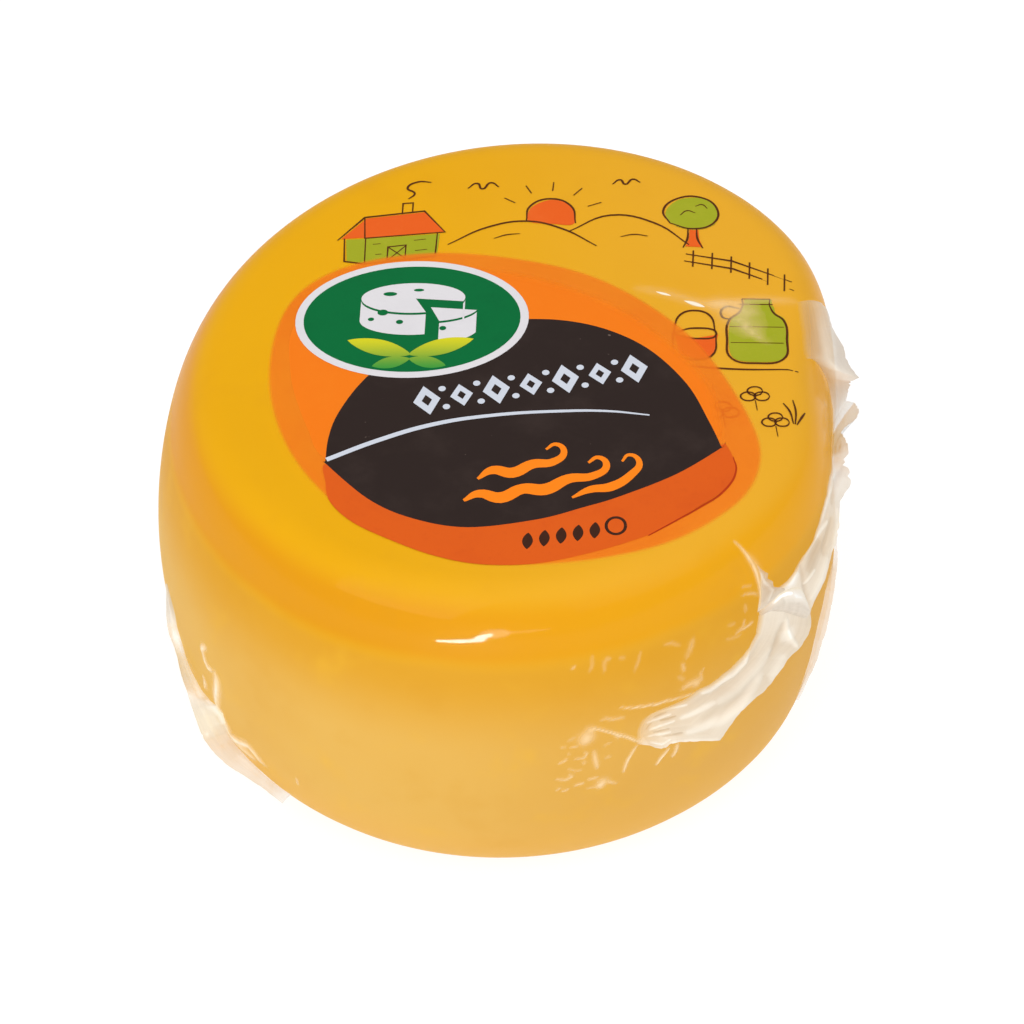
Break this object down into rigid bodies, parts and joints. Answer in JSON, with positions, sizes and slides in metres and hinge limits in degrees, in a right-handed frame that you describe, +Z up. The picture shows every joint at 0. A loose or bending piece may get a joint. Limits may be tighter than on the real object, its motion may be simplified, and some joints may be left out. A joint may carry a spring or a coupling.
{
  "type": "smoked kashkaval cheese in clear film",
  "caption": "Small round wheel of smoked cheese, shrink-wrapped in clear film with gathered ears and a printed label on its top.",
  "frame": {"origin": "middle of the flat base, on the surface that the wheel stands on", "axes": "+Z up through the wheel, -Y towards the front, +X towards the higher side with the larger ear of film"},
  "size_m": [0.0805, 0.0852, 0.0479],
  "materials": {
    "cheese_in_film": "golden smoked cheese under tight clear glossy film, milky where the film is gathered",
    "label_print": "orange, brown-black and red-orange print under clear film"
  },
  "bodies": {
    "root": {"wrapped_cheese": "cheese_in_film", "label": "label_print"}
  },
  "joints": []
}
